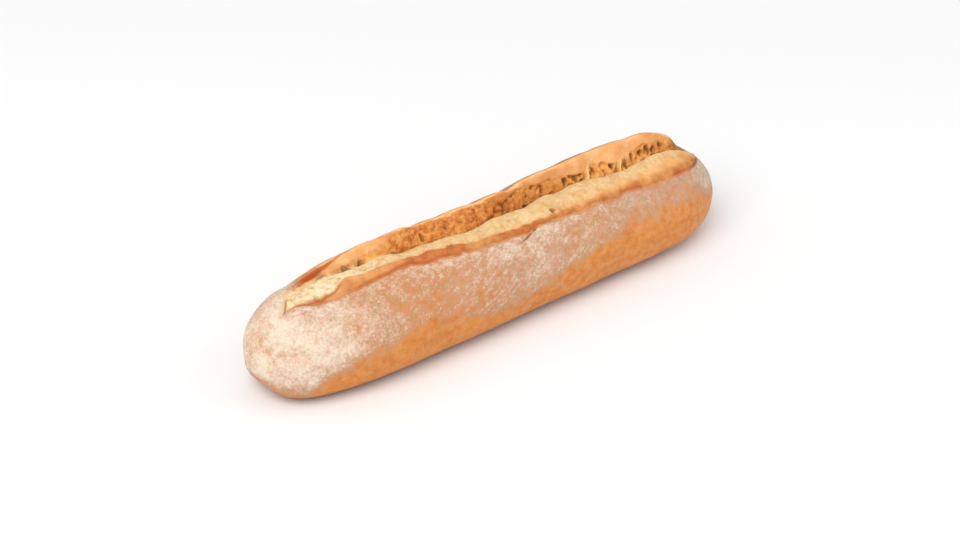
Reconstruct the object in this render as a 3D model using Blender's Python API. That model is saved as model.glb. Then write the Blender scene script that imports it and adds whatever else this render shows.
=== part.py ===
"""Ciabatta loaf: a long baked loaf with a torn split along its top, as one closed solid.

Metres, +Z up. X runs along the loaf, Y across it, with the floured side at -Y and the
raised lip of the split towards +Y. The loaf stands on Z = 0 and its origin is under its
middle. Its sections are worked out in millimetres, station by station, and skinned over.
"""
import bmesh
import bpy
import numpy as np

MM = 0.001

# Whole loaf, millimetres.
LENGTH = 360.0
WIDTH = 90.6
DOME_HEIGHT = 60.5
GIRTH_HEIGHT = 25.0       # where the loaf is widest
TIP_HEIGHT = 26.0         # height of both end points
NEAR_CAP = 86.5           # length over which the -X end rounds off
FAR_CAP = 75.0            # the same at +X
CROWN_CAP = 0.95          # the top rounds off over a little less than the sides
CAP_POWER = 2.3           # 2 is an ellipse, more is blunter
NEAR_TUCK = 26.0          # how far in from the -X end the base starts to lift
FAR_TUCK = 56.0           # the same at +X
TUCK_POWER = 2.4
SWELL = 0.03              # the +X half is wider by this share
SIDE_POWER = 2.15         # superellipse of the section above the girth
BELLY_POWER = 3.0         # and below it
BASE_PRESS = 1.5          # how much of the belly is pressed flat by the oven floor

# The split, as (station, value) pairs: station -1 is the near tip and +1 the far tip.
# Places across the loaf are shares of its half width. Rises and depths are millimetres
# from the smooth dome that the loaf would have without its split.
FRONT_EDGE = ((-0.86, 0.12), (-0.80, -0.22), (-0.70, -0.33), (-0.45, -0.34), (0.0, -0.56),
              (0.45, -0.60), (0.84, -0.62), (0.95, -0.45))
CREVICE = ((-0.86, 0.20), (-0.70, 0.30), (-0.50, 0.25), (-0.30, 0.13), (-0.12, 0.04),
           (0.05, 0.11), (0.38, 0.11), (0.53, -0.03), (0.66, 0.0), (0.80, 0.05), (0.95, -0.04))
LIP = ((-0.86, 0.26), (-0.70, 0.38), (-0.45, 0.36), (0.0, 0.28), (0.60, 0.28),
       (0.76, 0.26), (0.88, 0.14), (0.95, 0.10))
ROLL_RISE = ((-0.86, 0.0), (-0.70, 1.0), (-0.30, 2.0), (0.10, 2.8), (0.70, 2.8), (0.95, 0.0))
CREVICE_DEPTH = ((-0.86, 0.0), (-0.70, 2.5), (-0.45, 6.5), (0.0, 12.0), (0.40, 14.0),
                 (0.75, 11.0), (0.88, 4.0), (0.95, 0.0))
LIP_RISE = ((-0.86, 0.0), (-0.74, 2.2), (-0.50, 5.2), (-0.20, 4.4), (0.10, 5.5), (0.50, 5.0),
            (0.68, 6.8), (0.83, 7.4), (0.885, 5.8), (0.93, 0.0))
LIP_RUNOUT = 0.38         # from the lip back to the smooth dome, a share of half width

# Section of the split, from front to back, with the steps of the mesh after each point.
# On the roll: place from front edge (0) to crevice (1), share of roll rise, share of depth.
ROLL_PROFILE = ((0.0, 0.0, 0.0), (0.10, 0.50, 0.0), (0.30, 0.92, 0.0), (0.50, 1.0, 0.0),
                (0.66, 0.65, 0.06), (0.80, 0.20, 0.38), (0.92, 0.0, 0.84))
ROLL_STEPS = (1, 2, 2, 2, 2, 2, 2)
# On the wall: place from crevice (0) to lip (1), share of lip rise, share of depth.
WALL_PROFILE = ((0.0, 0.0, 1.0), (0.22, 0.0, 0.74), (0.60, 0.24, 0.26), (0.90, 0.72, 0.0))
WALL_STEPS = (2, 3, 3, 2)
# On the lip: place from its edge (0) to where it runs out (1), share of lip rise.
LIP_PROFILE = ((0.03, 0.90), (0.17, 1.0), (0.50, 0.62), (1.0, 0.0))
LIP_STEPS = (2, 2, 2)

# Unevenness of a loaf shaped by hand, millimetres.
SEED = 11
CRUST_WAVE = 0.35
CRUST_WAVE_LENGTHS = (34.0, 120.0)
WALL_WAVE = 0.55
WALL_WAVE_LENGTHS = (14.0, 42.0)
WALL_DEPTH = 14.0         # where the crevice is this deep the wall waves fully
WAVES = 6

# Air bubbles torn open in the wall of the split.
BUBBLES = 38
BUBBLE_RADII = (1.2, 2.8)
BUBBLE_STATIONS = (-0.62, 0.80)
# How far up the wall they start, below its smooth rim, as (station, share of its rows).
BUBBLE_REACH = ((-0.62, 0.5), (-0.45, 0.5), (-0.30, 0.85), (0.05, 0.85), (0.25, 0.55), (0.80, 0.5))
BUBBLE_ASPECT = (1.15, 1.0, 0.85)  # along the wall, into it and up it
BUBBLE_WALL_SHARE = 0.19           # a bubble's radius is at most this share of the wall
BUBBLE_ROUNDNESS = 2               # subdivisions of its ball

# Points round each section, and stations along the loaf.
BELLY_POINTS = 6
FLANK_POINTS = 8
SPLIT_ROW = BELLY_POINTS + FLANK_POINTS - 2      # rows of points, counted round a section
CREST_ROW = SPLIT_ROW + sum(ROLL_STEPS[:3])
CREVICE_ROW = SPLIT_ROW + sum(ROLL_STEPS)
LIP_ROW = CREVICE_ROW + sum(WALL_STEPS)
LAST_ROW = LIP_ROW + sum(LIP_STEPS)
STATIONS = 80
END_CROWDING = 0.12       # less crowds more of the stations towards the tips

CRUST_COLOUR = (0.62, 0.37, 0.17, 1.0)
CRUST_ROUGHNESS = 0.78


def clear_scene():
    for item in list(bpy.data.objects):
        bpy.data.objects.remove(item, do_unlink=True)


def along(pairs, place):
    """A smooth curve through (place, value) pairs, read at one place and held past its ends."""
    places, values = np.array(pairs, float).T
    slopes = np.gradient(values, places)
    i = int(np.clip(np.searchsorted(places, place) - 1, 0, len(places) - 2))
    span = places[i + 1] - places[i]
    u = float(np.clip((place - places[i]) / span, 0.0, 1.0))
    start = values[i] * (1 + 2 * u) + span * slopes[i] * u
    end = values[i + 1] * (3 - 2 * u) - span * slopes[i + 1] * (1 - u)
    return start * (1 - u) ** 2 + end * u * u


def rounding(x, near, far, power):
    """Rounding of both ends: 0 at the tips, 1 from the given lengths inwards."""
    near_share = np.clip((LENGTH / 2 + x) / near, 0.0, 1.0)
    far_share = np.clip((LENGTH / 2 - x) / far, 0.0, 1.0)
    return ((1 - (1 - near_share) ** power) * (1 - (1 - far_share) ** power)) ** (1 / power)


def make_waves(rng, lengths, turns):
    """Seeded waves along the loaf that also turn round it, as (rate, turns, phase)."""
    return [(2 * np.pi / rng.uniform(*lengths), rng.integers(0, turns + 1), rng.uniform(0, 2 * np.pi))
            for _ in range(WAVES)]


def read_waves(waves, x, angle):
    return sum(np.sin(rate * x + turns * angle + phase) for rate, turns, phase in waves)


class Section:
    """The outline of the loaf at one place along it, in (y, z)."""

    def __init__(self, x):
        self.x = x
        self.station = 2 * x / LENGTH
        wide = rounding(x, NEAR_CAP, FAR_CAP, CAP_POWER)
        high = rounding(x, CROWN_CAP * NEAR_CAP, CROWN_CAP * FAR_CAP, CAP_POWER)
        low = rounding(x, NEAR_TUCK, FAR_TUCK, TUCK_POWER)
        self.half = WIDTH / 2 * wide * (1 + SWELL * self.station)
        self.top = TIP_HEIGHT + (DOME_HEIGHT - TIP_HEIGHT) * high
        self.bottom = TIP_HEIGHT * (1 - low)
        self.girth = TIP_HEIGHT + (GIRTH_HEIGHT - TIP_HEIGHT) * low
        self.press = BASE_PRESS * low

    def dome(self, share):
        """Height of the smooth dome at a share of the half width."""
        crown = (1 - np.minimum(abs(share), 1.0) ** SIDE_POWER) ** (1 / SIDE_POWER)
        return self.girth + (self.top - self.girth) * crown

    def belly(self, side):
        """From the middle of the base out to the girth."""
        angle = np.linspace(0, np.pi / 2, BELLY_POINTS)
        y = side * self.half * np.sin(angle) ** (2 / BELLY_POWER)
        drop = self.girth - self.bottom + self.press
        z = self.girth - drop * np.cos(angle) ** (2 / BELLY_POWER)
        return np.column_stack([y, np.maximum(z, self.bottom)])

    def flank(self, start, end):
        """The dome between two shares of the half width, -1 and 1 being the girth."""
        first, last = (np.arccos(-np.sign(s) * abs(s) ** (SIDE_POWER / 2)) for s in (start, end))
        angle = np.linspace(first, last, FLANK_POINTS)
        y = -self.half * np.sign(np.cos(angle)) * abs(np.cos(angle)) ** (2 / SIDE_POWER)
        z = self.girth + (self.top - self.girth) * np.sin(angle) ** (2 / SIDE_POWER)
        return np.column_stack([y, z])

    def split_points(self):
        """The split as (share of half width, rise over the smooth dome)."""
        front, crevice, lip = (along(pairs, self.station) for pairs in (FRONT_EDGE, CREVICE, LIP))
        roll = along(ROLL_RISE, self.station)
        depth = along(CREVICE_DEPTH, self.station)
        rise = along(LIP_RISE, self.station)
        points = [(front + (crevice - front) * place, roll * up - depth * down)
                  for place, up, down in ROLL_PROFILE]
        points += [(crevice + (lip - crevice) * place, rise * up - depth * down)
                   for place, up, down in WALL_PROFILE]
        points += [(lip + LIP_RUNOUT * place, rise * up) for place, up in LIP_PROFILE]
        return points

    def split(self, wanted):
        """Points of the split's outline, read at places counted in points of its profile."""
        shares, rises = np.array(self.split_points()).T
        y = shares * self.half
        z = self.dome(shares) + rises
        count = range(len(y))
        return np.array([(along(list(zip(count, y)), w), along(list(zip(count, z)), w))
                         for w in wanted])

    def outline(self):
        """The closed outline: half the base, front, split, back and the other half."""
        steps = ROLL_STEPS + WALL_STEPS + LIP_STEPS
        wanted = [i + k / n for i, n in enumerate(steps) for k in range(n)] + [len(steps)]
        split = self.split(wanted)
        front = self.flank(-1.0, split[0, 0] / self.half)
        back = self.flank(split[-1, 0] / self.half, 1.0)
        belly = self.belly(1)[:0:-1]
        return np.vstack([self.belly(-1), front[1:-1], split, back[1:], belly[1:]])


def stations():
    """Places along the loaf, closer together towards the tips, without the tips."""
    share = np.linspace(0, 1, STATIONS // 2 + 1)[1:]
    inward = share * share / (share + END_CROWDING) * (1 + END_CROWDING)
    half = LENGTH / 2 * (1 - inward)
    return np.concatenate([-half, half[-2::-1]])


def make_rings():
    """One outline for each station, made uneven, as an array of points in millimetres."""
    rng = np.random.default_rng(SEED)
    crust = make_waves(rng, CRUST_WAVE_LENGTHS, 3)
    wall = make_waves(rng, WALL_WAVE_LENGTHS, 0)
    hold_rows = (CREST_ROW, CREVICE_ROW, LIP_ROW, LAST_ROW)
    rings = []
    for x in stations():
        section = Section(x)
        ring = section.outline()
        angle = np.arctan2(ring[:, 1] - section.girth, ring[:, 0])
        lift = np.clip(ring[:, 1] / GIRTH_HEIGHT, 0.0, 1.0) * section.half / (WIDTH / 2)
        swell = CRUST_WAVE * read_waves(crust, x, angle) * lift
        ring += np.column_stack([np.cos(angle), np.sin(angle)]) * swell[:, None]
        hold = np.interp(range(len(ring)), hold_rows, (0.0, 1.0, 1.0, 0.0))
        hold *= along(CREVICE_DEPTH, section.station) / WALL_DEPTH
        ring[:, 0] += WALL_WAVE * read_waves(wall, x, 0.0) * hold
        rings.append(np.column_stack([np.full(len(ring), x), ring]))
    rings = np.array(rings)
    rings[:, :, 1] -= (rings[:, :, 1].max() + rings[:, :, 1].min()) / 2
    return rings


def new_object(name, mesh, collection):
    """An object holding a finished bmesh, in a collection."""
    data = bpy.data.meshes.new(name)
    mesh.to_mesh(data)
    mesh.free()
    item = bpy.data.objects.new(name, data)
    collection.objects.link(item)
    return item


def skin(rings, tips):
    """A closed mesh over rings of points, with a point at each tip."""
    mesh = bmesh.new()
    rows = [[mesh.verts.new(point * MM) for point in ring] for ring in rings]
    ends = [mesh.verts.new(np.array(tip) * MM) for tip in tips]
    count = len(rows[0])
    for j in range(count):
        k = (j + 1) % count
        mesh.faces.new((rows[0][j], ends[0], rows[0][k]))
        mesh.faces.new((rows[-1][k], ends[1], rows[-1][j]))
        for near, far in zip(rows, rows[1:]):
            mesh.faces.new((near[j], near[k], far[k], far[j]))
    bmesh.ops.recalc_face_normals(mesh, faces=mesh.faces)
    return mesh


def ball_mesh(radius):
    mesh = bmesh.new()
    bmesh.ops.create_icosphere(mesh, subdivisions=BUBBLE_ROUNDNESS, radius=radius)
    return mesh


def bubble_cutters(rings):
    """Balls centred on edges of the torn wall, in a collection of their own."""
    rng = np.random.default_rng(SEED)
    bubbles = bpy.data.collections.new("bubbles")
    bpy.context.scene.collection.children.link(bubbles)
    places = np.linspace(*BUBBLE_STATIONS, BUBBLES) * LENGTH / 2
    for place in places:
        i = int(np.searchsorted(rings[:, 0, 0], place))
        rows = int(along(BUBBLE_REACH, 2 * place / LENGTH) * (LIP_ROW - CREVICE_ROW))
        row = CREVICE_ROW + rng.integers(1, rows + 1)
        centre = rings[i, row] + (rings[i + 1, row] - rings[i, row]) * rng.random()
        wall = rings[i, LIP_ROW, 2] - rings[i, CREVICE_ROW, 2]
        radius = BUBBLE_RADII[0] + (BUBBLE_RADII[1] - BUBBLE_RADII[0]) * rng.random() ** 1.5
        ball = new_object("bubble", ball_mesh(min(radius, BUBBLE_WALL_SHARE * wall) * MM), bubbles)
        ball.location = centre * MM
        ball.rotation_euler = rng.uniform(-0.5, 0.5, 3)
        ball.scale = BUBBLE_ASPECT
        ball.hide_render = True
        ball.display_type = "WIRE"
    return bubbles


def crust_material():
    material = bpy.data.materials.new("baked_crust")
    material.use_nodes = True
    shader = material.node_tree.nodes["Principled BSDF"]
    shader.inputs["Base Color"].default_value = CRUST_COLOUR
    shader.inputs["Roughness"].default_value = CRUST_ROUGHNESS
    return material


def main():
    clear_scene()
    tips = ((-LENGTH / 2, 0.0, TIP_HEIGHT), (LENGTH / 2, 0.0, TIP_HEIGHT))
    rings = make_rings()
    loaf = new_object("ciabatta_loaf", skin(rings, tips), bpy.context.scene.collection)
    loaf.data.shade_smooth()
    loaf.data.materials.append(crust_material())
    cut = loaf.modifiers.new("bubbles", "BOOLEAN")
    cut.operation = "DIFFERENCE"
    cut.operand_type = "COLLECTION"
    cut.collection = bubble_cutters(rings)
    cut.solver = "EXACT"


main()
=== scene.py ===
"""Looks of the ciabatta loaf: a floured, oven-baked crust, torn open along its top."""
import math

import bpy
import numpy as np
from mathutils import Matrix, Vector


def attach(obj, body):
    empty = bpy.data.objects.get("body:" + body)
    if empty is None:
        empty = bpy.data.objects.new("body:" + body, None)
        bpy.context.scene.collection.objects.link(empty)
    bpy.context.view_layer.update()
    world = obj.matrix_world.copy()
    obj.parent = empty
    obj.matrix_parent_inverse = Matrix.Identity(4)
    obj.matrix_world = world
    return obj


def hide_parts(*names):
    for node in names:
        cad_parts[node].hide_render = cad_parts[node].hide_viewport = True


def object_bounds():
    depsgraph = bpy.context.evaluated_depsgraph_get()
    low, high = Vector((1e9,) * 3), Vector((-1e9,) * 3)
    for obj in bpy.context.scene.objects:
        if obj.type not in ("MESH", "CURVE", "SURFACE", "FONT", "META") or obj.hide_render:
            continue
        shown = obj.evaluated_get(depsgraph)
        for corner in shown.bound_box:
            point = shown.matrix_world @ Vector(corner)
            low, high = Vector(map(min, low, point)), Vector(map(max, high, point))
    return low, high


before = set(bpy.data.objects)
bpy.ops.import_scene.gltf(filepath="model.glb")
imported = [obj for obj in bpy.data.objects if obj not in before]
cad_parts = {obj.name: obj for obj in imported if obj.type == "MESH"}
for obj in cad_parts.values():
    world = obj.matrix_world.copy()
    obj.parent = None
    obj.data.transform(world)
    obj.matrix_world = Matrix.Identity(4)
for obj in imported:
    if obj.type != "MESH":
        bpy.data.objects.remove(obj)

cad_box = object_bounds()

# ------------------------------------------------------------------ the loaf's plan, millimetres
MM = 0.001
LENGTH, WIDTH = 360.0, 90.6
NEAR_CAP, FAR_CAP = 86.5, 75.0    # how long the rounding of each end is
CAP_POWER = 2.3                   # how full that rounding is; 2 is an ellipse
SWELL = 0.03                      # share by which the loaf widens from its middle to the far tip
OPEN_ABOVE = (34.0, 40.0)         # from which height to which the split sets in

# Lines that run along the split, from front to back, as (station, share of the half width).
# Station -1 is the near tip and 1 the far tip; share -1 is the front side and 1 the back.
CRUST_EDGE = ((-0.87, -0.02), (-0.83, -0.10), (-0.79, -0.25), (-0.73, -0.29), (-0.60, -0.33),
              (-0.42, -0.33), (-0.34, -0.40), (-0.17, -0.51), (0.01, -0.54), (0.24, -0.58),
              (0.49, -0.60), (0.70, -0.64), (0.84, -0.615), (0.885, -0.56), (0.918, -0.48),
              (0.945, -0.36))
BAND_TOP = ((-0.83, -0.10), (-0.80, -0.21), (-0.76, -0.245), (-0.72, -0.225), (-0.68, -0.18),
            (-0.66, -0.12), (-0.56, -0.16), (-0.42, -0.21), (-0.28, -0.29), (-0.21, -0.36),
            (-0.08, -0.44), (0.02, -0.44), (0.14, -0.49), (0.34, -0.49), (0.52, -0.465),
            (0.71, -0.42), (0.84, -0.33), (0.93, -0.30))
CREVICE = ((-0.86, 0.20), (-0.70, 0.30), (-0.50, 0.25), (-0.30, 0.13), (-0.12, 0.04),
           (0.05, 0.11), (0.38, 0.11), (0.53, -0.03), (0.66, 0.0), (0.80, 0.05), (0.95, -0.04))
LIP = ((-0.86, 0.26), (-0.78, 0.335), (-0.70, 0.365), (-0.57, 0.375), (-0.45, 0.37), (0.0, 0.28),
       (0.60, 0.28), (0.76, 0.26), (0.88, 0.14), (0.95, 0.10))
# The split's two ends: the station at one share, and how it leans or curves with the share.
NEAR_END, NEAR_END_SHARE, NEAR_END_LEAN = -0.85, 0.083, 0.165
FAR_END, FAR_END_SHARE, FAR_END_CURVE = 0.95, -0.35, 0.10

# Where along the loaf things set in or die out, each from one station to another.
WALL_BEGINS, WALL_ENDS = (-0.76, -0.60), (0.92, 0.88)
FLAP_BEGINS, FLAP_ENDS = (-0.84, -0.80), (-0.28, -0.45)
FLAP_GROOVE_ENDS = (-0.62, -0.70)
CREVICE_BEGINS = (-0.72, -0.62)
LIP_BEGINS = (-0.70, -0.62)
CREST_FOLLOWED = (-0.60, -0.45)
COARSE_BUBBLES_BEGIN = (-0.20, 0.35)
FAR_CRACK_BEGINS = (0.80, 0.88)
FAR_SHADE_BEGINS = (0.86, 0.90)
RED_LINE_BEGINS = (-0.72, -0.66)
RED_FLAP_BEGINS, RED_FLAP_ENDS = (-0.85, -0.82), (-0.63, -0.68)
CLEAN_EDGE_ENDS = (-0.64, -0.70)
SHELF_BEGINS, SHELF_ENDS = (-0.62, -0.45), (0.35, 0.15)
PRESSED_BEGINS, PRESSED_ENDS = (-0.62, -0.42), (0.50, 0.20)
PALE_ROLL_ENDS = (-0.35, -0.62)

# ------------------------------------------------------------------ the split's relief
# How far the smooth rim reaches down the torn wall, as (station, millimetres).
RIM = ((-0.80, 3.0), (-0.60, 6.0), (-0.50, 8.0), (-0.42, 3.5), (-0.34, 1.5), (-0.20, 1.2),
       (0.0, 1.5), (0.16, 3.0), (0.30, 5.0), (0.40, 6.5), (0.50, 6.8), (0.60, 8.5), (0.68, 8.5),
       (0.76, 6.5), (0.82, 5.0), (0.90, 3.0))
# Small rises and dips of the lip's edge and of the roll's top, as (station, millimetres).
LIP_TRIM = ((-0.84, -0.6), (-0.75, -1.9), (-0.66, -1.7), (-0.58, 0.0), (-0.52, 0.3), (-0.46, -0.3),
            (-0.41, -0.7), (-0.375, 0.4), (-0.34, 1.0), (-0.31, 1.1), (-0.27, -1.2), (-0.20, -2.1),
            (-0.15, -2.7), (-0.12, -1.9), (-0.07, -1.6), (-0.03, -2.1), (0.0, -2.5), (0.04, -1.1),
            (0.08, -0.3), (0.105, -0.2), (0.14, -2.4), (0.22, -0.6), (0.28, 0.3), (0.36, 0.8),
            (0.40, 1.2), (0.44, 2.4), (0.49, 1.3), (0.54, -0.5), (0.60, 0.2), (0.66, 0.5),
            (0.71, -0.7), (0.78, 0.9), (0.83, 0.5), (0.88, 0.0), (0.915, -1.7), (0.95, 0.0))
ROLL_TRIM = ((-0.60, 0.0), (-0.547, -1.6), (-0.50, 0.0), (-0.44, -0.3), (-0.39, -2.2), (-0.33, 0.0),
             (-0.27, -2.2), (-0.20, -0.5), (-0.14, -2.2), (-0.04, 0.0), (0.06, 0.0), (0.165, -2.4),
             (0.22, -1.2), (0.29, -1.8), (0.34, -1.0), (0.42, -0.5), (0.50, -1.2), (0.56, -1.5),
             (0.61, 0.0), (0.67, 2.0), (0.74, 1.6), (0.80, 1.6), (0.90, 0.0))
# Over how many millimetres the roll's baked band fades upwards, as (station, millimetres).
BAND_FADE = ((-0.70, 1.0), (-0.30, 1.6), (0.10, 1.8), (0.35, 3.5), (0.60, 5.0), (0.90, 6.0))
# Open bubbles in the torn wall, as (station, share of the wall's height, radius in millimetres).
HOLES = ((-0.36, 0.55, 1.0), (-0.26, 0.45, 1.2), (-0.16, 0.50, 1.1), (-0.02, 0.75, 1.1),
         (0.06, 0.45, 1.3), (0.10, 0.50, 1.4), (0.21, 0.50, 1.4), (0.28, 0.42, 1.6),
         (0.385, 0.42, 1.7), (0.425, 0.50, 1.5), (0.45, 0.35, 1.4), (0.51, 0.45, 1.4),
         (0.55, 0.22, 1.3), (0.585, 0.50, 2.2), (0.66, 0.28, 1.5), (0.70, 0.45, 1.6),
         (0.77, 0.42, 1.6), (0.83, 0.45, 1.5))
# Scattered bubbles: how far apart in millimetres, least and greatest radius in millimetres, the
# share of the places that have one, and the seed.
BROAD_BUBBLES = (5.2, (0.9, 2.4), 0.55, 50)
FINE_BUBBLES = (3.1, (0.5, 1.3), 0.28, 40)
ROLL_PORES = (4.5, (0.4, 1.3), 0.22, 70)
# Single pores in the roll, as (station, share of the half width, radius in millimetres).
PORES = ((0.185, -0.47, 1.6), (-0.235, -0.33, 1.1), (-0.74, 0.09, 1.0), (-0.79, 0.10, 0.9),
         (-0.80, 0.02, 0.8), (-0.60, 0.22, 1.0), (0.02, -0.30, 0.8), (0.88, -0.50, 1.0))
# Gaps along the crevice's bottom, given painted shade, by station, and their length in millimetres.
GAPS = (-0.66, -0.565, -0.51, -0.375, -0.345, -0.28, -0.18, -0.14)
GAP_LENGTH = 3.2
# Strands of crumb that still bridge the crevice: x in millimetres at the middle line, and how far
# each leans along the loaf for every millimetre backwards.
STRANDS = (82.0, 110.0)
STRAND_LEAN = 0.82
# A short crease in the floured side, from one (x, y) in millimetres to another.
CREASE = ((2.0, -28.5), (17.5, -25.0))

# Random unevenness by name, as layers of (size of the bumps in millimetres, strength, seed). The
# strength is in millimetres where it moves an edge or the surface, and a share elsewhere.
BUMPS = {
    "edge of the crust": ((9.0, 0.7, 21), (3.2, 0.6, 22)),
    "near end": ((7.0, 0.9, 26), (3.0, 0.5, 41)),
    "far end": ((3.0, 0.5, 27),),
    "edge of the lip": ((4.0, 0.5, 23),),
    "edge of the rim": ((11.0, 1.4, 24), (3.6, 1.3, 25)),
    "edge of the band": ((8.0, 1.1, 28), (3.0, 1.0, 29)),
    "crust": ((34.0, 0.45, 10), (15.0, 0.28, 1), (6.0, 0.14, 2)),
    "tear": ((9.0, 0.25, 35),),
    "roll": ((12.0, 0.7, 3), (4.6, 0.3, 4), (2.0, 0.14, 5)),
    "roll beside the crevice": ((4.6, 0.3, 4),),
    "wall": ((8.0, 0.7, 7), (4.2, 0.35, 64)),
    "wall's fibres": ((2.4, 0.30, 6),),
    "edge of a hole": ((2.6, 0.8, 62), (1.4, 0.6, 63)),
    "edge of a pore": ((1.8, 0.5, 71),),
    "edge of a gap": ((2.6, 0.7, 46),),
    "bend of a strand": ((5.0, 0.5, 61),),
    "crease": ((2.5, 0.4, 38),),
    "breaks in the crevice": ((5.0, 0.9, 36),),
    "depth of the crevice": ((7.0, 0.8, 9),),
    "start of the scorch": ((3.0, 0.3, 43),),
    "reach of the scorch": ((5.0, 0.4, 30),),
    "red line": ((9.0, 1.0, 34),),
    "red flap": ((4.0, 0.4, 39),),
    "flour line": ((22.0, 3.0, 31), (7.0, 2.0, 32)),
    "bare strip": ((9.0, 4.0, 33),),
    "fringe": ((3.0, 0.3, 44),),
    "baked band": ((9.0, 0.25, 37),),
    "baked wall": ((12.0, 0.15, 40),),
    "light on the crest": ((6.0, 0.6, 45),),
    "base": ((14.0, 2.0, 42),),
    "cool flour": ((18.0, 0.2, 47),),
}

# ------------------------------------------------------------------ how the loaf baked
# How strongly the lip's edge is scorched, as (station, share), and from where to where across the
# lip, as (station, millimetres behind its crest).
SCORCH = ((-0.86, 0.5), (-0.80, 0.9), (-0.70, 0.95), (-0.62, 0.8), (-0.52, 0.45), (-0.42, 0.45),
          (-0.36, 0.55), (-0.30, 0.35), (-0.16, 0.40), (-0.02, 0.35), (0.04, 0.60), (0.16, 0.55),
          (0.26, 0.50), (0.36, 0.75), (0.52, 0.70), (0.60, 0.30), (0.70, 0.30), (0.80, 0.55),
          (0.92, 0.55))
SCORCH_START = ((-0.84, -1.0), (-0.78, -1.4), (-0.72, -1.3), (-0.66, -1.1), (-0.60, -0.4),
                (0.90, -0.4))
SCORCH_REACH = ((-0.84, 0.8), (-0.78, 1.2), (-0.72, 1.2), (-0.66, 0.9), (-0.60, 0.8), (-0.48, 9.0),
                (-0.20, 11.0), (0.90, 11.0))
# How dark the roll's front edge baked, as (station, share), and how far up, in millimetres.
BAND_BAKE = ((-0.83, 0.35), (-0.60, 0.45), (-0.45, 0.75), (-0.36, 1.15), (-0.24, 1.15),
             (-0.14, 0.50), (-0.04, 0.85), (0.05, 1.15), (0.14, 0.85), (0.35, 0.70), (0.60, 0.64),
             (0.90, 0.66))
BAKE_WIDTH = ((-0.80, 14.0), (0.00, 14.0), (0.20, 6.0), (0.40, 5.0), (0.70, 7.0), (0.90, 8.0))
# How far the torn wall and its rim browned, as (station, share).
WALL_BAKE = ((-0.80, 0.0), (-0.50, 0.05), (-0.44, 0.30), (-0.38, 0.70), (-0.32, 0.95),
             (-0.20, 1.0), (0.05, 0.95), (0.25, 0.60), (0.45, 0.30), (0.62, 0.15), (0.76, 0.35),
             (0.90, 0.75))
# How thickly the flour lies, as (station, share), and how low it reaches down the side, as
# (station, height in millimetres).
FLOUR_AMOUNT = ((-1.0, 1.24), (-0.86, 1.06), (-0.74, 0.84), (-0.64, 0.62), (-0.54, 0.49),
                (-0.45, 0.45), (-0.10, 0.49), (0.10, 0.49), (0.35, 0.50), (0.55, 0.47),
                (0.70, 0.43), (0.80, 0.46), (0.90, 0.72), (1.0, 0.50))
FLOUR_LOW = ((-1.0, 17.0), (-0.95, 13.0), (-0.88, 14.0), (-0.845, 21.0), (-0.76, 27.0),
             (-0.64, 31.5), (-0.57, 34.0), (-0.40, 33.0), (-0.30, 28.5), (-0.22, 24.0),
             (-0.10, 22.0), (0.05, 25.0), (0.15, 32.0), (0.25, 35.5), (0.37, 36.0), (0.48, 40.0),
             (0.60, 40.5), (0.71, 39.4), (0.80, 36.5), (0.90, 33.0), (1.0, 29.0))
# How far the flour turns from warm to grey, as (station, share).
FLOUR_COOL = ((-1.0, 0.25), (-0.60, 0.15), (-0.45, 0.0), (-0.30, 0.05), (-0.15, 0.25),
              (0.50, 0.30), (0.78, 0.45), (0.90, 0.75))

VOXEL, QUICK_VOXEL = 0.7, 1.3     # millimetres between the surface's points after the remesh
TRIANGLES = 190000                # kept when the plain crust is thinned

# ------------------------------------------------------------------ small helpers
HASH_SIZE = 8192                                # a power of two
HASH_STEPS = (73856093, 19349663, 83492791)     # large odd numbers, one for each axis
HASH_START = 1000.0                             # keeps the cells' numbers above zero


def smooth(low, high, value):
    """0 below low, 1 above high, eased between; low may be above high."""
    share = np.clip((value - low) / (high - low), 0.0, 1.0)
    return share * share * (3 - 2 * share)


def bell(value, width):
    """1 at zero, fading to nothing about twice the width away."""
    return np.exp(-(value / width) ** 2)


def along(pairs, place):
    """A smooth curve through (place, value) pairs, read at an array of places."""
    places, values = np.array(pairs, float).T
    slopes = np.gradient(values, places)
    i = np.clip(np.searchsorted(places, place) - 1, 0, len(places) - 2)
    span = places[i + 1] - places[i]
    u = np.clip((place - places[i]) / span, 0.0, 1.0)
    start = values[i] * (1 + 2 * u) + span * slopes[i] * u
    end = values[i + 1] * (3 - 2 * u) - span * slopes[i + 1] * (1 - u)
    return start * (1 - u) ** 2 + end * u * u


def hashed(cells, seed):
    """A repeatable random number from 0 to 1 for each whole-number cell."""
    table = np.random.default_rng(seed).random(HASH_SIZE)
    a, b, c = (cells[:, axis] * step for axis, step in enumerate(HASH_STEPS))
    return table[(a ^ b ^ c) & (HASH_SIZE - 1)]


def noise(points, size, seed):
    """Smooth random bumps of about the given size, from -1 to 1."""
    place = points / size + HASH_START
    cell = np.floor(place).astype(np.int64)
    u = place - cell
    u = u * u * u * (u * (u * 6 - 15) + 10)
    total = np.zeros(len(points))
    for corner in np.ndindex(2, 2, 2):
        weight = np.prod(np.where(corner, u, 1 - u), axis=1)
        total += weight * hashed(cell + corner, seed)
    return total * 2 - 1


def inside_ball(radius, apart):
    """How deep a ball cuts in at each distance from its middle."""
    return np.sqrt(np.clip(radius ** 2 - apart ** 2, 0, None))


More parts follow.
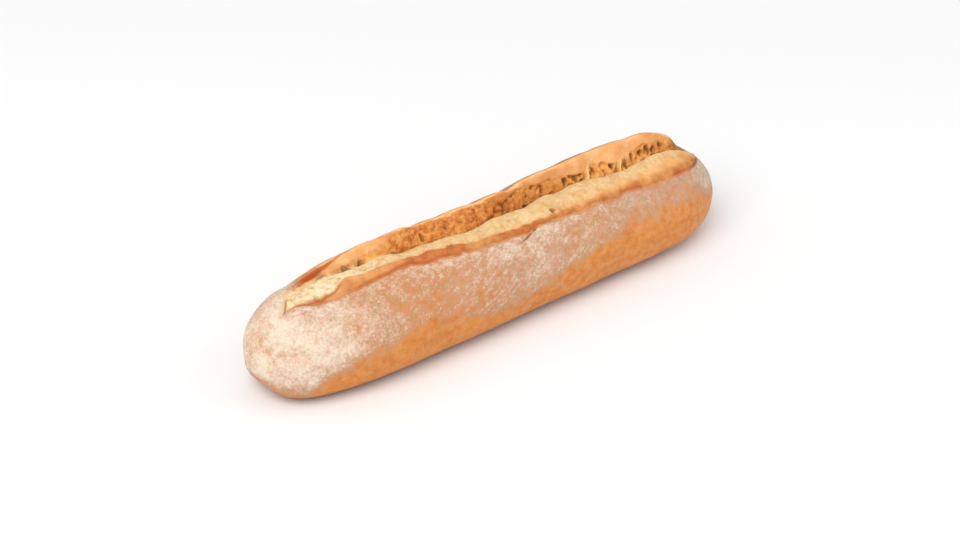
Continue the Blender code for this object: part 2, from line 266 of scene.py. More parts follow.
def bubbles(points, spacing, radii, share, seed):
    """How deep each point lies inside scattered balls, one tried in each cell of the spacing."""
    cell = np.floor(points / spacing + HASH_START).astype(np.int64)
    depth = np.zeros(len(points))
    for step in np.ndindex(3, 3, 3):
        home = cell + step - 1
        place = np.column_stack([hashed(home, seed + k) for k in range(3)])
        centre = (home - HASH_START + place) * spacing
        radius = radii[0] + (radii[1] - radii[0]) * hashed(home, seed + 3) ** 2
        radius = np.where(hashed(home, seed + 4) < share, radius, 0.0)
        depth = np.maximum(depth, inside_ball(radius, np.linalg.norm(points - centre, axis=1)))
    return depth


def evened(profile, known=slice(None), spread=3):
    """A value for each millimetre along the loaf, with gaps filled and neighbours averaged."""
    places = np.arange(len(profile))
    filled = np.interp(places, places[known], profile[known])
    window = np.ones(2 * spread + 1) / (2 * spread + 1)
    return np.convolve(np.pad(filled, spread, "edge"), window, "valid")


def apart_from(start, end, x, y):
    """Distance in plan from the line between two points."""
    start, end = np.array(start), np.array(end)
    run = end - start
    share = np.clip(((x - start[0]) * run[0] + (y - start[1]) * run[1]) / (run @ run), 0, 1)
    return np.hypot(x - start[0] - share * run[0], y - start[1] - share * run[1])


def read_points(mesh):
    points = np.zeros(len(mesh.vertices) * 3)
    mesh.vertices.foreach_get("co", points)
    return points.reshape(-1, 3) / MM


def read_normals(mesh):
    normals = np.zeros(len(mesh.vertices) * 3)
    mesh.vertex_normals.foreach_get("vector", normals)
    return normals.reshape(-1, 3)


def keep_in_box(mesh, points):
    """Writes the points back, none of them outside the solid's own box."""
    low, high = (np.array(corner) / MM for corner in cad_box)
    mesh.vertices.foreach_set("co", (np.clip(points, low, high) * MM).ravel())
    mesh.update()


def write_mask(mesh, name, values):
    """Keeps a share from 0 to 1 on each point, for the material to read."""
    mask = mesh.attributes.new(name, "FLOAT", "POINT")
    mask.data.foreach_set("value", np.clip(values, 0, 1).astype(np.float32))


def apply_modifier(item, kind, **settings):
    """Adds a modifier to an object, sets it and applies it."""
    bpy.context.view_layer.objects.active = item
    modifier = item.modifiers.new(kind.lower(), kind)
    for key, value in settings.items():
        setattr(modifier, key, value)
    bpy.ops.object.modifier_apply(modifier=modifier.name)


# ------------------------------------------------------------------ the surface and its points


def loaf_copy():
    """A merged copy of the solid, subdivided and remeshed evenly so that it can be sculpted."""
    bpy.ops.object.select_all(action="DESELECT")
    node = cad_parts["ciabatta_loaf"]
    loaf = bpy.data.objects.new("floured_crust_and_torn_crumb", node.data.copy())
    bpy.context.scene.collection.objects.link(loaf)
    bpy.context.view_layer.objects.active = loaf
    loaf.select_set(True)
    bpy.ops.object.mode_set(mode="EDIT")
    bpy.ops.mesh.select_all(action="SELECT")
    bpy.ops.mesh.remove_doubles(threshold=1e-6)
    widest = math.radians(60)
    bpy.ops.mesh.tris_convert_to_quads(face_threshold=widest, shape_threshold=widest)
    bpy.ops.object.mode_set(mode="OBJECT")
    apply_modifier(loaf, "SUBSURF", levels=2, render_levels=2)
    voxel = VOXEL
    apply_modifier(loaf, "REMESH", mode="VOXEL", voxel_size=voxel * MM, use_smooth_shade=True)
    return loaf


class Surface:
    """The loaf's points in millimetres, and where each of them lies in the split. The functions
    that cut holes and cracks also leave their depths here, for the masks."""

    def __init__(self, mesh):
        self.points = read_points(mesh)
        self.normals = read_normals(mesh)
        self.x, self.y, self.z = self.points.T
        self.station = 2 * self.x / LENGTH
        near = np.clip((LENGTH / 2 + self.x) / NEAR_CAP, 1e-3, 1.0)
        far = np.clip((LENGTH / 2 - self.x) / FAR_CAP, 1e-3, 1.0)
        rounding = (1 - (1 - near) ** CAP_POWER) * (1 - (1 - far) ** CAP_POWER)
        self.half = WIDTH / 2 * rounding ** (1 / CAP_POWER) * (1 + SWELL * self.station)
        self.share = self.y / self.half
        self.past_edge = self.past(CRUST_EDGE)
        self.past_band = self.past(BAND_TOP)
        self.past_crevice = self.past(CREVICE)
        self.past_lip = self.past(LIP)
        near_end = NEAR_END + NEAR_END_LEAN * (self.share - NEAR_END_SHARE)
        far_end = FAR_END - FAR_END_CURVE * (self.share - FAR_END_SHARE) ** 2
        self.from_near = (self.station - near_end) * LENGTH / 2
        self.from_far = (far_end - self.station) * LENGTH / 2
        self.top = smooth(*OPEN_ABOVE, self.z)
        self.measure_wall()
        self.find_zones()

    def past(self, line):
        """How far behind a line of the split each point lies."""
        return self.y - along(line, self.station) * self.half

    def apart(self, station):
        """How far along the loaf each point lies from a station."""
        return (self.station - station) * LENGTH / 2

    def within(self, *stretches):
        """1 where all of these stretches have set in, fading to 0 where one has not."""
        return math.prod(smooth(*stretch, self.station) for stretch in stretches)

    def bumps(self, name, squeeze=(1.0, 1.0, 1.0)):
        """Random unevenness of the kind that the name says, longer where the squeeze is below 1."""
        place = self.points * squeeze
        return sum(strength * noise(place, size, seed) for size, strength, seed in BUMPS[name])

    def measure_wall(self):
        """Height of the torn wall's foot and crest, millimetre by millimetre along the loaf."""
        foot_reach, lip_reach, lowest = 2.5, 5.0, 36.0
        place = np.clip((self.x + LENGTH / 2).astype(int), 0, int(LENGTH) - 1)
        at_foot = (abs(self.past_crevice) < foot_reach) & (self.z > lowest)
        at_lip = (abs(self.past_lip) < lip_reach) & (self.z > lowest)
        foot = np.full(int(LENGTH), np.inf)
        crest = np.zeros(int(LENGTH))
        np.minimum.at(foot, place[at_foot], self.z[at_foot])
        np.maximum.at(crest, place[at_lip], self.z[at_lip])
        # Written from low to high, so that the highest point of each millimetre stays.
        by_height = np.flatnonzero(at_lip)[np.argsort(self.z[at_lip])]
        highest = np.zeros(int(LENGTH))
        highest[place[by_height]] = self.past_lip[by_height]
        known = np.isfinite(foot) & (crest > 0)
        foot = evened(foot, known)
        crest = evened(crest, known)
        highest = evened(highest)
        self.past_crest = self.past_lip - highest[place] * self.within(CREST_FOLLOWED)
        self.wall_height = (crest - foot)[place]
        self.up_wall = (self.z - foot[place]) / np.maximum(self.wall_height, 1.0)
        self.below_crest = crest[place] - self.z

    def find_zones(self):
        """What each point is part of, each zone as a share from 0 to 1."""
        self.edge = self.past_edge + self.bumps("edge of the crust")
        opened = smooth(-0.5, 0.5, self.from_near + self.bumps("near end"))
        opened *= smooth(-0.5, 0.5, self.from_far + self.bumps("far end"))
        self.open_top = self.top * opened
        self.torn = smooth(-0.4, 0.4, self.edge) * self.open_top
        self.torn *= smooth(0.6, -0.4, self.past_lip - self.bumps("edge of the lip"))
        self.crust = 1 - self.torn
        self.on_wall = smooth(-1.5, 1.0, self.past_crevice) * self.torn
        self.on_wall *= self.within(WALL_BEGINS, WALL_ENDS)
        below_rim = self.below_crest - along(RIM, self.station) + self.bumps("edge of the rim")
        self.rim = smooth(0.9, -0.9, below_rim) * self.on_wall
        self.wall = self.on_wall * (1 - self.rim)
        self.roll = self.torn * (1 - self.on_wall)
        fade = along(BAND_FADE, self.station)
        above = self.past_band + (0.4 + 0.3 * fade) * self.bumps("edge of the band")
        self.band = smooth(fade, -fade, above) * self.roll


# ------------------------------------------------------------------ relief, in millimetres outwards


def crust_relief(loaf):
    """The crust's own unevenness, sunk a little where it tore."""
    tear = loaf.open_top * bell(loaf.edge, 0.9) * (0.45 + loaf.bumps("tear"))
    return loaf.crust * (loaf.bumps("crust") - 0.35) - tear


def roll_relief(loaf):
    """The roll of crumb: its band stands proud of the crust, and its top is soft and uneven."""
    flap = loaf.within(FLAP_BEGINS, FLAP_ENDS)
    proud = loaf.band * (0.35 + 0.5 * flap) * smooth(0.3, 1.8, loaf.edge)
    groove = 0.7 * flap * bell(loaf.past_band - 0.6, 1.0) * loaf.within(FLAP_GROOVE_ENDS)
    beside_crevice = bell(loaf.past_crevice + 3.0, 3.0)
    soft = loaf.bumps("roll") + beside_crevice * loaf.bumps("roll beside the crevice") - 0.4
    return proud + loaf.roll * (soft - groove)


def wall_relief(loaf):
    """The torn wall: open bubbles of many sizes, and strands that still bridge the crevice."""
    coarse = loaf.within(COARSE_BUBBLES_BEGIN)
    broad = bubbles(loaf.points, *BROAD_BUBBLES) * (0.40 + 0.50 * coarse)
    fine = bubbles(loaf.points, *FINE_BUBBLES) * (0.35 + 0.40 * coarse)
    pits = np.maximum(broad, fine)
    ragged = loaf.bumps("edge of a hole")
    for station, height, radius in HOLES:
        up = (loaf.up_wall - height) * loaf.wall_height
        apart = np.hypot(loaf.apart(station), 0.6 * up) + ragged
        pits = np.maximum(pits, 1.15 * inside_ball(radius, apart))
    pits *= smooth(0.3, 1.0, loaf.wall)
    loaf.strand = np.zeros(len(loaf.points))
    for place in STRANDS:
        across = loaf.x - place - STRAND_LEAN * loaf.y + loaf.bumps("bend of a strand")
        beside = bell(abs(across) - 2.6, 1.2) * smooth(0.6, 0.3, loaf.up_wall) * loaf.wall
        pits = np.maximum(pits * (1 - bell(across, 1.5)), 0.9 * beside * (1 + 0.4 * ragged))
        loaf.strand = np.maximum(loaf.strand, bell(across, 1.0) * loaf.wall)
    loaf.pits = pits
    fibres = loaf.bumps("wall's fibres", squeeze=(1.0, 1.0, 0.3))
    proud = 1.3 * loaf.strand * smooth(0.8, 0.4, loaf.up_wall)
    return loaf.wall * (loaf.bumps("wall") + fibres - 0.3) + proud - pits


def pore_relief(loaf):
    """Pores in the roll: small ones scattered over its top, and the few larger ones that show."""
    clear_of_crevice = smooth(-1.0, -3.0, loaf.past_crevice)
    pores = 0.8 * bubbles(loaf.points, *ROLL_PORES) * (loaf.roll - loaf.band) * clear_of_crevice
    ragged = loaf.bumps("edge of a pore")
    for station, share, radius in PORES:
        apart = np.hypot(0.7 * loaf.apart(station), loaf.y - share * loaf.half) + ragged
        pores += 1.2 * inside_ball(radius, apart) * loaf.torn
    loaf.pits += pores
    return -pores


def crevice_relief(loaf):
    """The bottom of the crevice, broken and deep, with a few gaps; both get painted shade."""
    loaf.bottom = bell(loaf.past_crevice, 1.6) * loaf.torn * loaf.within(WALL_ENDS, CREVICE_BEGINS)
    loaf.bottom *= 0.65 + loaf.bumps("breaks in the crevice")
    nearest = np.max([bell(loaf.apart(station), GAP_LENGTH) for station in GAPS], axis=0)
    off_line = loaf.past_crevice + 0.2 + loaf.bumps("edge of a gap")
    loaf.gap = nearest * bell(off_line, 1.1) * loaf.torn
    return -loaf.bottom * (1.6 + loaf.bumps("depth of the crevice")) - 1.5 * loaf.gap


def crack_relief(loaf):
    """Cracks at both ends of the split, and the short crease in the floured side."""
    near = bell(loaf.from_near, 0.8) * smooth(0.19, 0.10, abs(loaf.share - 0.06))
    far = bell(loaf.from_far, 0.9) * smooth(-0.65, -0.55, loaf.share) * smooth(0.4, 0.2, loaf.share)
    side = loaf.open_top * bell(loaf.edge, 1.1) * loaf.within(FAR_CRACK_BEGINS)
    loaf.crack = np.maximum(loaf.top * np.maximum(near, far), side)
    off_line = apart_from(*CREASE, loaf.x, loaf.y) + loaf.bumps("crease")
    loaf.crease = bell(off_line, 0.5) * loaf.top * loaf.crust
    return -0.7 * loaf.crack - 0.6 * loaf.crease


def edge_trim(loaf):
    """Rises and dips of the lip's edge and the roll's top, straight up or down."""
    lip = along(LIP_TRIM, loaf.station) * smooth(-7.0, -1.0, loaf.past_lip)
    lip *= np.where(lip < 0, 1.0, smooth(30.0, 10.0, loaf.past_lip))
    roll = along(ROLL_TRIM, loaf.station) * smooth(-1.0, -5.0, loaf.past_crevice)
    roll *= smooth(-22.0, -12.0, loaf.past_crevice)
    clear_of_ends = smooth(-14.0, 3.0, loaf.from_near) * smooth(-5.0, 3.0, loaf.from_far)
    return (lip + roll) * smooth(26.0, 46.0, loaf.z) * clear_of_ends


# ------------------------------------------------------------------ masks for the material


def scorch_and_flap_shadow_mask(loaf, clear_of_ends):
    """The scorched lip, and the red line where the crust meets the roll and its flap."""
    start = along(SCORCH_START, loaf.station) + loaf.bumps("start of the scorch")
    reach = along(SCORCH_REACH, loaf.station) * (1 + loaf.bumps("reach of the scorch"))
    lip = along(SCORCH, loaf.station) * loaf.top * clear_of_ends
    lip *= smooth(start - 0.5, start + 0.4, loaf.past_crest)
    lip *= smooth(1.6 * reach + 0.5, reach, loaf.past_crest)
    lip *= 0.55 + 0.45 * smooth(6.0, 2.0, loaf.past_crest)
    line = 0.8 * bell(loaf.edge - 0.4, 1.1) * loaf.open_top * loaf.within(RED_LINE_BEGINS)
    line *= 0.4 + 0.6 * smooth(-0.3, 0.4, loaf.bumps("red line"))
    line *= 1 - 0.6 * bell(loaf.station - 0.15, 0.40)
    # Along the flap's edge the red line is partly burnt crust and partly painted shadow beneath the
    # flap.
    width = 1.1 + 1.3 * bell(loaf.station + 0.775, 0.045)
    flap = 0.84 * bell(loaf.past_band - 0.1 + loaf.bumps("red flap"), width) * loaf.top
    flap *= loaf.within(RED_FLAP_BEGINS, RED_FLAP_ENDS)
    return np.maximum(lip, np.maximum(line, flap))


def flour_mask(loaf, behind_lip):
    """How thickly the flour lies: less along the split's edge, none on the strip behind the lip."""
    low = along(FLOUR_LOW, loaf.station) + loaf.bumps("flour line")
    low -= 10.0 * smooth(-4.0, 38.0, loaf.y)
    fade = 4.0 + 5.0 * smooth(0.3, 0.5, loaf.station) + 4.0 * smooth(-0.5, -0.8, loaf.station)
    flour = smooth(-fade, fade, loaf.z - low) * along(FLOUR_AMOUNT, loaf.station)
    flour *= 1 - behind_lip * smooth(18.0, 8.0, loaf.past_lip + loaf.bumps("bare strip"))
    shelf = bell(np.minimum(loaf.edge + 5.0, 0.0), 6.0) * loaf.within(SHELF_BEGINS, SHELF_ENDS)
    flour += 0.22 * shelf * loaf.open_top * loaf.crust
    clean = 0.8 + 0.9 * loaf.within(CLEAN_EDGE_ENDS)
    return flour * (1 - 0.8 * bell(loaf.edge, clean) * loaf.open_top)


def rim_mask(loaf, behind_lip):
    """The smooth rim, the bare strip behind it, and the torn fringe at the split's near end."""
    strip = behind_lip * loaf.within(LIP_BEGINS) * smooth(7.0, 3.0, loaf.past_lip)
    fringe = (0.45 + loaf.bumps("fringe")) * bell(loaf.from_near + 1.0, 2.6) * loaf.top
    fringe *= smooth(0.30, 0.18, abs(loaf.y / loaf.half - 0.12))
    return loaf.rim + strip + fringe


def bake_mask(loaf):
    """How far the torn wall and the roll's band browned."""
    width = along(BAKE_WIDTH, loaf.station)
    band = along(BAND_BAKE, loaf.station) + loaf.bumps("baked band")
    band *= smooth(0.25, 1.0, loaf.band) * smooth(width, 0.3 * width, loaf.edge)
    wall = along(WALL_BAKE, loaf.station) + loaf.bumps("baked wall")
    return np.where(loaf.on_wall > 0.5, wall, band)


def painted_hollow_shade_mask(loaf):
    """Painted shade in each hollow from its depth, and in the crevice at the split's far end."""
    far_shade = loaf.within(FAR_SHADE_BEGINS) * smooth(-3.0, 0.0, loaf.past_crevice) * loaf.torn
    cuts = 0.75 * loaf.bottom + 0.8 * loaf.crack + loaf.crease + 0.9 * loaf.gap
    return loaf.pits / 1.9 + cuts + 0.7 * far_shade


def pale_crumb_and_highlight_mask(loaf):
    """Cream crumb along the roll's whole near end, and a painted highlight beside the crevice."""
    # Painted highlight along the roll's crest, beside the crevice.
    crest = bell(loaf.past_crevice + 4.0, 2.0) * (0.6 + loaf.bumps("light on the crest"))
    return loaf.roll * (1 - loaf.band) * np.maximum(loaf.within(PALE_ROLL_ENDS), crest)


def sculpt(item):
    """Moves the surface in and out by millimetres and records what each point is."""
    mesh = item.data
    loaf = Surface(mesh)
    outwards = crust_relief(loaf) + roll_relief(loaf) + wall_relief(loaf) + pore_relief(loaf)
    outwards += crevice_relief(loaf) + crack_relief(loaf)
    upwards = edge_trim(loaf)
    # The points move in place, so x, y and z are the new ones for all the masks.
    loaf.points += loaf.normals * outwards[:, None]
    loaf.points[:, 2] += upwards
    keep_in_box(mesh, loaf.points)

    clear_of_ends = smooth(-4.0, 16.0, loaf.from_near) * smooth(-4.0, 12.0, loaf.from_far)
    behind_lip = smooth(-0.8, 0.6, loaf.past_lip) * loaf.top * clear_of_ends
    masks = {
        "torn": loaf.torn,
        "wall": loaf.wall,
        "band": loaf.band,
        "strand": loaf.strand,
        "rim": rim_mask(loaf, behind_lip),
        "bake": bake_mask(loaf),
        "painted_hollow_shade": painted_hollow_shade_mask(loaf),
        "pale_and_highlight": pale_crumb_and_highlight_mask(loaf),
        "scorch_and_flap_shadow": scorch_and_flap_shadow_mask(loaf, clear_of_ends),
        "flour": flour_mask(loaf, behind_lip),
        "pressed": loaf.within(PRESSED_BEGINS, PRESSED_ENDS) * smooth(5.0, -15.0, loaf.y),
        "cool": along(FLOUR_COOL, loaf.station) + loaf.bumps("cool flour"),
        "base": smooth(11.0, 1.0, loaf.z + loaf.bumps("base")),
    }
    for name, values in masks.items():
        write_mask(mesh, name, values)
    return loaf.torn


def thin_crust(item, torn):
    """Keeps the torn crumb's mesh and thins the plain crust's when there are too many triangles."""
    keep = item.vertex_groups.new(name="keep")
    steps = 4
    for step in range(steps):
        chosen = np.flatnonzero((torn > step / steps) & (torn <= (step + 1) / steps))
        keep.add(chosen.tolist(), (step + 1) / steps, "REPLACE")
    triangles = 2 * len(item.data.vertices)
    if triangles > TRIANGLES:
        apply_modifier(item, "DECIMATE", ratio=TRIANGLES / triangles, vertex_group="keep",
                       invert_vertex_group=True)
    item.vertex_groups.clear()
    keep_in_box(item.data, read_points(item.data))


# ------------------------------------------------------------------ material
# Pairs of sRGB colours; each finish wanders between its two.
TONES = {
    "bare crust": ("#cb772c", "#df913f"),
    "thin flour": ("#bd8b5a", "#cb8b68"),
    "grey flour": ("#b4a28b", "#c2a596"),
    "thick flour": ("#e3d2b9", "#edd5c1"),
    "roll": ("#d6a466", "#e8c38c"),
    "band": ("#dd9a56", "#ecb272"),
    "baked edge": ("#ad5d28", "#d07d40"),
    "wall": ("#dd9a48", "#f3bd70"),
    "browned wall": ("#b86524", "#eda256"),
    "rim": ("#efac69", "#f9c68d"),
    "browned rim": ("#cf7a34", "#e2964c"),
}
# The crust turns to this darker colour towards the bottom edge.
DARKER_TOWARDS_BOTTOM = "#a86024"
# The cream is the crumb's own at the near end, and a painted highlight beside the crevice.
CRUMB_FLECKS, CREAM_CRUMB_AND_HIGHLIGHT, STRAND_CRUMB = "#f4dfb8", "#fbeccb", "#fbd28c"
# The last colour is painted shade for the hollows.
# The scorch colour is also painted shadow beneath the flap's edge.
WALL_SPECKS, SCORCHED_AND_FLAP_SHADOW, PAINTED_HOLLOW_SHADE = "#8a4716", "#ae4b10", "#8a541e"

# Noise for the flour and the crumb, as (size in millimetres, detail, roughness). A grain of flour
# is too fine to show in the render, so the grain is drawn as coarse as it needs to show.
CLOUDS = {
    "drift": (13, 4.0, 0.6),
    "dust": (5, 3.0, 0.6),
    "grain": (1.6, 2.0, 0.7),
    "tint": (3.4, 3.0, 0.5),
    "soft": (7, 4.0, 0.6),
    "lump": (3.5, 3.0, 0.5),
    "fine": (2.2, 3.0, 0.6),
}
# Fine lines pressed into the flour: their slant, how they are stretched, and size in millimetres.
PRESS_SLANT, PRESS_STRETCH, PRESS_SIZE = math.radians(-24), (6.0, 3.0, 1.0), 1.7
COVER_START = -1.04               # takes the average of the dust and the grain back to about zero


def rgb(hex_code):
    """An sRGB hex colour as linear RGBA."""
    parts = [int(hex_code[i:i + 2], 16) / 255 for i in (1, 3, 5)]
    return (*[p / 12.92 if p <= 0.04045 else ((p + 0.055) / 1.055) ** 2.4 for p in parts], 1.0)


def per_mm(size):
    """The scale at which a texture's features are about this many millimetres across."""
    return 1.0 / (size * MM)


def add(tree, kind, sockets, output=0, **settings):
    """Adds a node with its settings, each socket given a value or an output, and returns one
    output of it."""
    node = tree.nodes.new(kind)
    for key, value in settings.items():
        setattr(node, key, value)
    for key, value in sockets.items():
        if isinstance(value, bpy.types.NodeSocket):
            tree.links.new(value, node.inputs[key])
        else:
            node.inputs[key].default_value = value
    return node.outputs[output] if node.outputs else None


def blank_material(name):
    material = bpy.data.materials.new(name)
    material.use_nodes = True
    material.node_tree.nodes.clear()
    return material


def floured_crust(tree, place, masks, cloud):
    """Colour of the crust: golden where it is bare, pinkish beige to near white under the flour."""
    turned = add(tree, "ShaderNodeMapping", {"Vector": place, "Rotation": (0.0, PRESS_SLANT, 0.0),
                                             "Scale": PRESS_STRETCH}, vector_type="TEXTURE")
    lines = add(tree, "ShaderNodeTexNoise", {"Vector": turned, "Scale": per_mm(PRESS_SIZE),
                                             "Detail": 2.0})
    lines = add(tree, "ShaderNodeMath", {0: lines, 1: 0.5}, operation="SUBTRACT")
    lines = add(tree, "ShaderNodeMath", {0: lines, 1: masks["pressed"]}, operation="MULTIPLY")
    drift = add(tree, "ShaderNodeMath", {0: cloud["drift"], 1: 0.5}, operation="SUBTRACT")
    drift = add(tree, "ShaderNodeMath", {0: drift, 1: masks["flour"]}, operation="MULTIPLY")
    cover = add(tree, "ShaderNodeMath", {0: masks["flour"], 1: COVER_START}, operation="ADD")
    for layer, weight in ((drift, 1.6), (cloud["dust"], 0.8), (cloud["grain"], 1.3), (lines, 1.0)):
        cover = add(tree, "ShaderNodeMath", {0: layer, 1: weight, 2: cover},
                    operation="MULTIPLY_ADD")
    thin = add(tree, "ShaderNodeMapRange", {"Value": cover, "From Min": 0.05, "From Max": 0.40})
    thick = add(tree, "ShaderNodeMapRange", {"Value": cover, "From Min": 0.48, "From Max": 1.25})
    bake = add(tree, "ShaderNodeMapRange", {"Value": cloud["dust"], "From Min": 0.35,
                                            "From Max": 0.65})
    hue = add(tree, "ShaderNodeMapRange", {"Value": cloud["tint"], "From Min": 0.38,
                                           "From Max": 0.62})
    tone = {}
    for name, wander in (("bare crust", bake), ("thin flour", hue), ("grey flour", hue),
                         ("thick flour", hue)):
        first, second = TONES[name]
        tone[name] = add(tree, "ShaderNodeMixRGB", {"Fac": wander, "Color1": rgb(first),
                                                    "Color2": rgb(second)})
    sheer = add(tree, "ShaderNodeMixRGB", {"Fac": masks["cool"], "Color1": tone["thin flour"],
                                           "Color2": tone["grey flour"]})
    colour = tone["bare crust"]
    for mask, layer in ((masks["base"], rgb(DARKER_TOWARDS_BOTTOM)), (thin, sheer),
                        (thick, tone["thick flour"])):
        colour = add(tree, "ShaderNodeMixRGB", {"Fac": mask, "Color1": colour, "Color2": layer})
    return colour, thin, lines


def torn_crumb(tree, masks, cloud):
    """Colour of the opened crumb: cream on the roll, with a painted highlight beside the crevice,
    orange along its edge, and brown on the torn wall; the holes get painted shade later.
    """
    patch = add(tree, "ShaderNodeMapRange", {"Value": cloud["soft"], "From Min": 0.36,
                                             "From Max": 0.64})
    spot = add(tree, "ShaderNodeMapRange", {"Value": cloud["lump"], "From Min": 0.36,
                                            "From Max": 0.64})
    fleck = add(tree, "ShaderNodeMapRange", {"Value": cloud["fine"], "From Min": 0.48,
                                             "From Max": 0.66})
    speck = add(tree, "ShaderNodeMapRange", {"Value": cloud["fine"], "From Min": 0.56,
                                             "From Max": 0.68, "To Max": 0.5})
    share = add(tree, "ShaderNodeMath", {0: masks["pale_and_highlight"], 1: 0.35, 2: 0.40},
                operation="MULTIPLY_ADD")
    fleck = add(tree, "ShaderNodeMath", {0: fleck, 1: share}, operation="MULTIPLY")
    # Cream crumb, with the painted highlight beside the crevice.
    cream_and_highlight = add(tree, "ShaderNodeMath", {0: masks["pale_and_highlight"], 1: 0.6}, operation="MULTIPLY")
    cream_and_highlight = add(tree, "ShaderNodeMath", {0: cream_and_highlight, 1: spot}, operation="MULTIPLY")
    tone = {}
    for name, wander in (("roll", patch), ("band", patch), ("baked edge", patch), ("wall", spot),
                         ("browned wall", spot), ("rim", patch), ("browned rim", patch)):
        first, second = TONES[name]
        tone[name] = add(tree, "ShaderNodeMixRGB", {"Fac": wander, "Color1": rgb(first),
                                                    "Color2": rgb(second)})
    browned = add(tree, "ShaderNodeMixRGB", {"Fac": speck, "Color1": tone["browned wall"],
                                             "Color2": rgb(WALL_SPECKS)})
    wall = add(tree, "ShaderNodeMixRGB", {"Fac": masks["bake"], "Color1": tone["wall"],
                                          "Color2": browned})
    rim = add(tree, "ShaderNodeMixRGB", {"Fac": masks["bake"], "Color1": tone["rim"],
                                         "Color2": tone["browned rim"]})
    colour = tone["roll"]
    for mask, layer in ((fleck, rgb(CRUMB_FLECKS)), (cream_and_highlight, rgb(CREAM_CRUMB_AND_HIGHLIGHT)),
                        (masks["band"], tone["band"]), (masks["bake"], tone["baked edge"]),
                        (masks["wall"], wall), (masks["rim"], rim),
                        (masks["strand"], rgb(STRAND_CRUMB))):
        colour = add(tree, "ShaderNodeMixRGB", {"Fac": mask, "Color1": colour, "Color2": layer})
    return colour


def wheat_bread():
    """Lean wheat bread, dusted with flour and baked hard on a stone: a matt mottled skin of flour
    over golden crust, and cream crumb with browned edges where the oven's heat tore it open."""
    material = blank_material("floured_and_baked_wheat_bread")
    tree = material.node_tree
    place = add(tree, "ShaderNodeTexCoord", {}, "Object")
    masks = {}
    for name in ("torn", "wall", "rim", "band", "bake", "painted_hollow_shade", "strand", "scorch_and_flap_shadow", "pale_and_highlight",
                 "flour", "pressed", "base", "cool"):
        masks[name] = add(tree, "ShaderNodeAttribute", {}, "Fac", attribute_name=name)
    cloud = {}
    for name, (size, detail, roughness) in CLOUDS.items():
        cloud[name] = add(tree, "ShaderNodeTexNoise", {"Vector": place, "Scale": per_mm(size),
                                                       "Detail": detail, "Roughness": roughness})
    crust, dusted, lines = floured_crust(tree, place, masks, cloud)
    crumb = torn_crumb(tree, masks, cloud)
    opened = add(tree, "ShaderNodeMath", {0: masks["torn"], 1: masks["rim"]}, operation="MAXIMUM")
    colour = crust
    # Painted shade in the hollows goes on last.
    for mask, layer in ((opened, crumb), (masks["scorch_and_flap_shadow"], rgb(SCORCHED_AND_FLAP_SHADOW)),
                        (masks["painted_hollow_shade"], rgb(PAINTED_HOLLOW_SHADE))):
        colour = add(tree, "ShaderNodeMixRGB", {"Fac": mask, "Color1": colour, "Color2": layer})
    # Flour is quite matt; bare crust keeps a faint sheen.
    rough = add(tree, "ShaderNodeMapRange", {"Value": dusted, "To Min": 0.55, "To Max": 0.95})
    height = add(tree, "ShaderNodeMath", {0: cloud["grain"], 1: lines}, operation="ADD")
    height = add(tree, "ShaderNodeMath", {0: height, 1: cloud["fine"]}, operation="ADD")
    bump = add(tree, "ShaderNodeBump", {"Height": height, "Strength": 0.6, "Distance": 0.35 * MM})
    shader = add(tree, "ShaderNodeBsdfPrincipled", {"Base Color": colour, "Roughness": rough,
                                                    "IOR": 1.45, "Normal": bump})
    add(tree, "ShaderNodeOutputMaterial", {"Surface": shader})
    return material


# ------------------------------------------------------------------ camera and studio
CAMERA_TARGET = (-8.0, 0.0, 22.0)                # millimetres
CAMERA_AZIMUTH, CAMERA_ELEVATION = -39.3, 32.0   # degrees
CAMERA_DISTANCE, CAMERA_LENS = 1341.0, 80.0      # millimetres
FLOOR_SIZE = 12.0                                # metres
FLOOR_PAINT, ROOM_PAINT = "#f4f4f4", "#ffffff"
ROOM_LIGHT = 0.68
# Soft round lights: azimuth and elevation in degrees, distance and size in metres, watts.
LIGHTS = {"key": (-66.0, 50.0, 3.0, 2.8, 56.0), "fill": (55.0, 30.0, 3.0, 2.4, 14.0)}


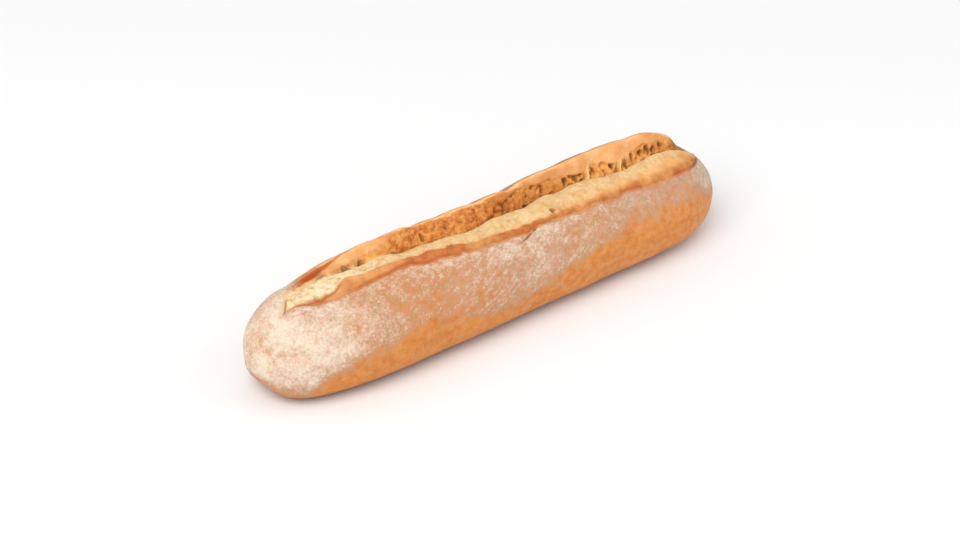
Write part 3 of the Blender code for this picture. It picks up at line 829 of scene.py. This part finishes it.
def direction(azimuth, elevation):
    """Unit vector from the loaf towards a compass angle round it and a height in degrees."""
    a, e = math.radians(azimuth), math.radians(elevation)
    return Vector((math.sin(a) * math.cos(e), -math.cos(a) * math.cos(e), math.sin(e)))


def make_camera():
    data = bpy.data.cameras.new("camera")
    data.lens = CAMERA_LENS
    camera = bpy.data.objects.new("camera", data)
    bpy.context.scene.collection.objects.link(camera)
    back = direction(CAMERA_AZIMUTH, CAMERA_ELEVATION)
    camera.location = (Vector(CAMERA_TARGET) + back * CAMERA_DISTANCE) * MM
    camera.rotation_euler = (-back).to_track_quat("-Z", "Y").to_euler()
    bpy.context.scene.camera = camera


def make_light(name, azimuth, elevation, distance, size, watts):
    data = bpy.data.lights.new(name, "AREA")
    data.shape = "DISK"
    data.size = size
    data.energy = watts
    light = bpy.data.objects.new(name, data)
    bpy.context.scene.collection.objects.link(light)
    towards = direction(azimuth, elevation)
    light.location = towards * distance
    light.rotation_euler = (-towards).to_track_quat("-Z", "Y").to_euler()


def make_studio():
    bpy.ops.object.select_all(action="DESELECT")
    bpy.ops.mesh.primitive_plane_add(size=FLOOR_SIZE)
    floor = bpy.context.object
    floor.name = "studio_floor"
    paint = blank_material("pale_matt_floor")
    shader = add(paint.node_tree, "ShaderNodeBsdfPrincipled", {"Base Color": rgb(FLOOR_PAINT),
                                                               "Roughness": 0.9})
    add(paint.node_tree, "ShaderNodeOutputMaterial", {"Surface": shader})
    floor.data.materials.append(paint)
    world = bpy.data.worlds.new("studio")
    bpy.context.scene.world = world
    world.use_nodes = True
    background = world.node_tree.nodes["Background"]
    background.inputs["Color"].default_value = rgb(ROOM_PAINT)
    background.inputs["Strength"].default_value = ROOM_LIGHT
    for name, settings in LIGHTS.items():
        make_light(name, *settings)
    bpy.context.scene.view_settings.view_transform = "Standard"


def main():
    loaf = loaf_copy()
    torn = sculpt(loaf)
    thin_crust(loaf, torn)
    loaf.data.materials.clear()
    loaf.data.materials.append(wheat_bread())
    loaf.data.shade_smooth()
    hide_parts("ciabatta_loaf")
    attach(loaf, "root")
    make_studio()
    make_camera()


main()
